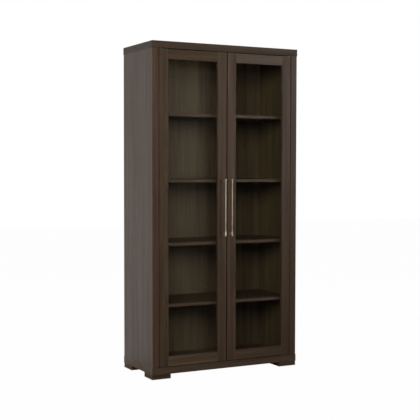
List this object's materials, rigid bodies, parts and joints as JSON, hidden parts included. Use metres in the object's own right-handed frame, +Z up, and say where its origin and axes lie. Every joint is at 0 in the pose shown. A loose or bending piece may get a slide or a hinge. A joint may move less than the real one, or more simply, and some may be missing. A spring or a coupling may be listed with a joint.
{
  "type": "glass-door bookcase",
  "caption": "Tall bookcase with side-by-side hinged glass doors in wooden frames, full-width shelves, thick top and base boards, low block feet and slim vertical bar pulls.",
  "frame": {"origin": "on the floor, below the middle of the whole object, pulls included", "axes": "+Z up, +X to the right as one faces the doors, +Y to the back"},
  "size_m": [1, 0.468, 2],
  "materials": {
    "dark_wood": "espresso-brown stained oak veneer, satin",
    "clear_glass": "clear float glass",
    "satin_brass": "pale brushed brass",
    "zinc_steel": "zinc-plated",
    "black_nylon": "moulded, matte",
    "pale_beech": "bare, fluted dowel stock"
  },
  "bodies": {
    "carcass": {"top_board": "dark_wood", "base_board": "dark_wood", "left_side_panel": "dark_wood", "right_side_panel": "dark_wood", "left_front_post": "dark_wood", "right_front_post": "dark_wood", "back_panel": "dark_wood", "shelf_1": "dark_wood", "shelf_2": "dark_wood", "shelf_3": "dark_wood", "shelf_4": "dark_wood", "shelf_pins_1": "zinc_steel", "shelf_pins_2": "zinc_steel", "shelf_pins_3": "zinc_steel", "shelf_pins_4": "zinc_steel", "left_front_foot": "dark_wood", "right_front_foot": "dark_wood", "left_back_foot": "dark_wood", "right_back_foot": "dark_wood", "foot_glides": "black_nylon", "foot_screws": "zinc_steel", "carcass_dowels": "pale_beech", "back_panel_screws": "zinc_steel", "left_bottom_pivot": "zinc_steel", "right_bottom_pivot": "zinc_steel", "left_top_pivot": "zinc_steel", "right_top_pivot": "zinc_steel", "pivot_washers": "black_nylon", "pivot_plate_screws": "zinc_steel", "catch_housing": "black_nylon", "catch_magnets": "zinc_steel", "catch_screws": "zinc_steel"},
    "left_door": {"left_door_hinge_stile": "dark_wood", "left_door_meeting_stile": "dark_wood", "left_door_top_rail": "dark_wood", "left_door_bottom_rail": "dark_wood", "left_door_glass": "clear_glass", "left_door_glass_beads": "dark_wood", "left_door_pivot_bushes": "satin_brass", "left_door_strike_plate": "zinc_steel", "left_door_handle_bar": "satin_brass", "left_door_handle_sleeves": "satin_brass", "left_door_handle_posts": "satin_brass", "left_door_handle_screws": "zinc_steel"},
    "right_door": {"right_door_hinge_stile": "dark_wood", "right_door_meeting_stile": "dark_wood", "right_door_top_rail": "dark_wood", "right_door_bottom_rail": "dark_wood", "right_door_glass": "clear_glass", "right_door_glass_beads": "dark_wood", "right_door_pivot_bushes": "satin_brass", "right_door_strike_plate": "zinc_steel", "right_door_handle_bar": "satin_brass", "right_door_handle_sleeves": "satin_brass", "right_door_handle_posts": "satin_brass", "right_door_handle_screws": "zinc_steel"}
  },
  "joints": [
    {"name": "left_door_hinge", "type": "hinge", "parent": "carcass", "child": "left_door", "pos_m": [-0.439, -0.195, 1.0135], "axis": [0, 0, -1], "range_deg": [0, 110]},
    {"name": "right_door_hinge", "type": "hinge", "parent": "carcass", "child": "right_door", "pos_m": [0.439, -0.195, 1.0135], "axis": [0, 0, 1], "range_deg": [0, 110]}
  ]
}
